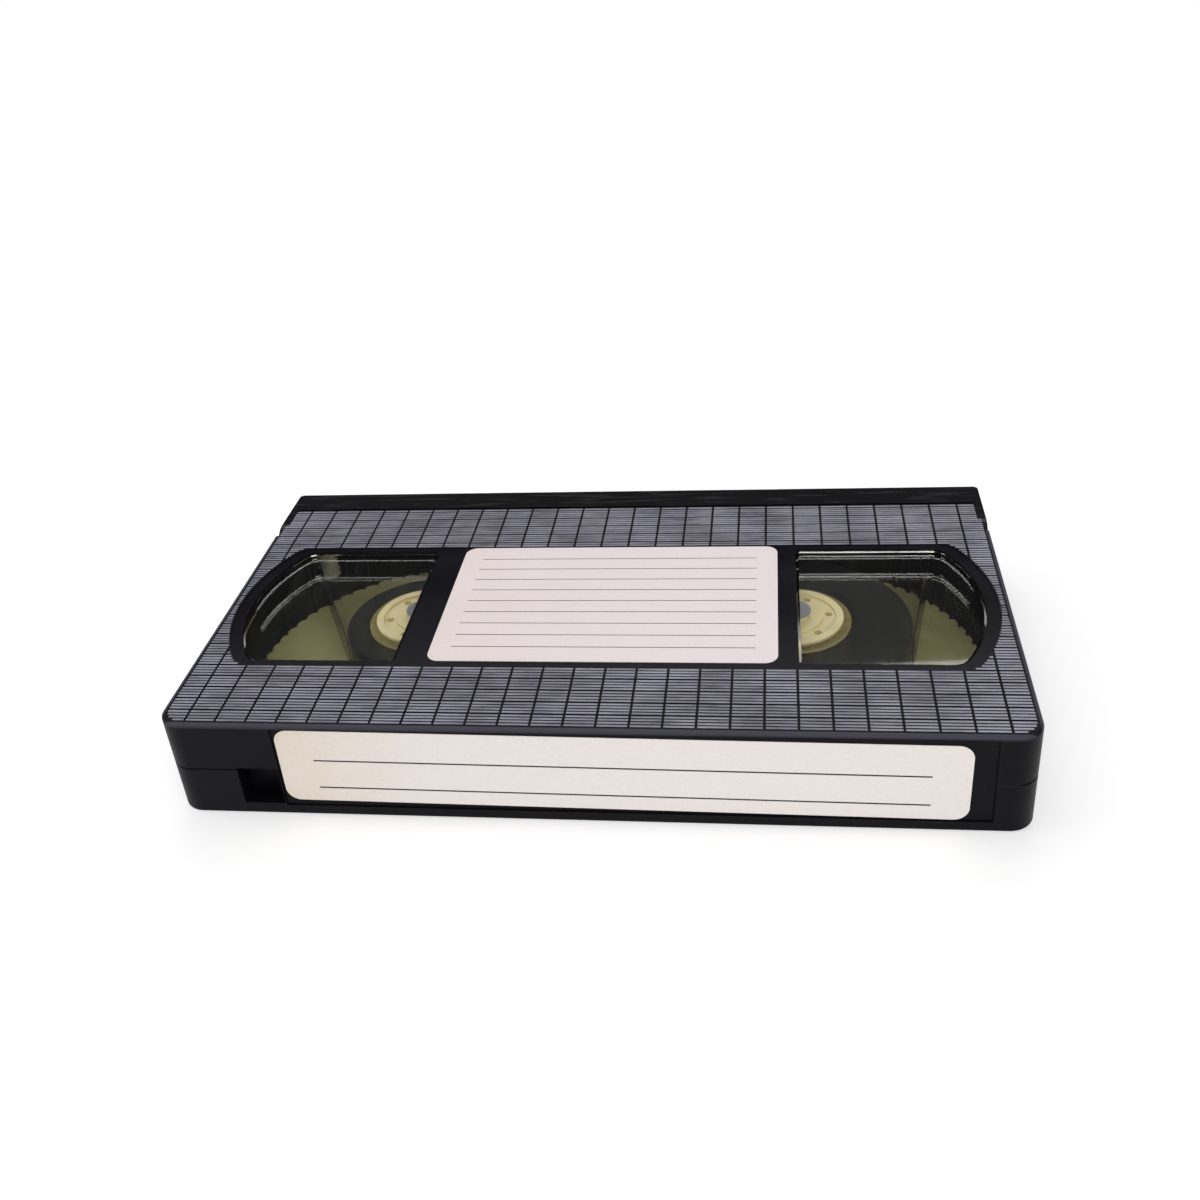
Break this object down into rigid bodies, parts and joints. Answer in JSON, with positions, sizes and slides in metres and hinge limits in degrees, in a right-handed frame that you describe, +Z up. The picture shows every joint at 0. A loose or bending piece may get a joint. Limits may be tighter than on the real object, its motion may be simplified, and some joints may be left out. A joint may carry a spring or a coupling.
{
  "type": "video cassette",
  "caption": "Flat black tape cassette with two clear windows, two tape reels, paper labels and a sprung front door over the tape.",
  "frame": {"origin": "middle of the underside", "axes": "+X along the cassette's length, +Y towards the tape door, +Z up out of the window side; the label spine faces -Y"},
  "size_m": [0.188, 0.104, 0.025],
  "materials": {
    "shell": "moulded black polystyrene, fine satin",
    "door": "moulded black polystyrene, smooth",
    "window": "clear moulded polystyrene",
    "face_paper": "coated label paper",
    "spine_paper": "coated label paper",
    "reel": "moulded cream plastic",
    "clear_flange": "clear moulded polystyrene",
    "tape": "coated magnetic film",
    "clamp": "moulded plastic",
    "roller": "moulded acetal",
    "lever": "moulded acetal",
    "pin_steel": "ground steel",
    "spring_steel": "spring steel",
    "screw_steel": "zinc plated steel"
  },
  "bodies": {
    "root": {"upper_shell": "shell", "lower_shell": "shell", "window_left": "window", "window_right": "window", "face_label": "face_paper", "spine_label": "spine_paper", "reel_spring": "spring_steel", "shell_screws": "screw_steel", "door_spring": "spring_steel", "lock_spring": "spring_steel", "tape_span": "tape", "roller_pin": "pin_steel", "supply_guide_post": "pin_steel", "takeup_guide_post": "pin_steel", "brake_spring_left": "spring_steel", "brake_spring_right": "spring_steel"},
    "door": {"door": "door"},
    "door_lock": {"door_lock": "lever"},
    "supply_reel": {"supply_reel": "reel", "supply_clear_flange": "clear_flange", "supply_tape_pack": "tape", "supply_hub_clamp": "clamp"},
    "takeup_reel": {"takeup_reel": "reel", "takeup_clear_flange": "clear_flange", "takeup_tape_pack": "tape", "takeup_hub_clamp": "clamp"},
    "guide_roller": {"guide_roller": "roller"},
    "brake_left": {"brake_pawl_left": "lever"},
    "brake_right": {"brake_pawl_right": "lever"},
    "brake_release": {"brake_release": "lever"}
  },
  "joints": [
    {"name": "door_hinge", "type": "hinge", "parent": "root", "child": "door", "pos_m": [0, 0.035, 0.0195], "axis": [1, 0, 0], "range_deg": [0, 88], "stiffness_Nm_per_rad": 0.006, "springref_deg": -34.38},
    {"name": "lock_pivot", "type": "hinge", "parent": "root", "child": "door_lock", "pos_m": [0.0875, 0.029, 0.004], "axis": [0, 0, 1], "range_deg": [0, 5], "stiffness_Nm_per_rad": 0.003, "springref_deg": -17.19},
    {"name": "takeup_spin", "type": "hinge", "parent": "root", "child": "takeup_reel", "pos_m": [0.0455, -0.00325, 0], "axis": [0, 0, 1], "continuous": true},
    {"name": "supply_spin", "type": "hinge", "parent": "root", "child": "supply_reel", "pos_m": [-0.0455, -0.00325, 0], "axis": [0, 0, 1], "continuous": true},
    {"name": "roller_spin", "type": "hinge", "parent": "root", "child": "guide_roller", "pos_m": [-0.0845, 0.0385, 0], "axis": [0, 0, 1], "continuous": true},
    {"name": "brake_lever", "type": "hinge", "parent": "root", "child": "brake_release", "pos_m": [0, 0.012, 0.006], "axis": [1, 0, 0], "range_deg": [0, 10]},
    {"name": "brake_left_pivot", "type": "hinge", "parent": "root", "child": "brake_left", "pos_m": [-0.0062, 0.0235, 0.004], "axis": [0, 0, 1], "range_deg": [0, 15], "stiffness_Nm_per_rad": 0.001, "springref_deg": -17.19},
    {"name": "brake_right_pivot", "type": "hinge", "parent": "root", "child": "brake_right", "pos_m": [0.0062, 0.0235, 0.004], "axis": [0, 0, 1], "range_deg": [-15, 0], "stiffness_Nm_per_rad": 0.001, "springref_deg": 17.19}
  ],
  "couplings": [
    {"joint": "supply_spin", "follows": "takeup_spin", "ratio": 1.4439},
    {"joint": "roller_spin", "follows": "takeup_spin", "ratio": 9},
    {"joint": "brake_left_pivot", "follows": "brake_lever", "ratio": 1.5},
    {"joint": "brake_right_pivot", "follows": "brake_lever", "ratio": -1.5}
  ]
}
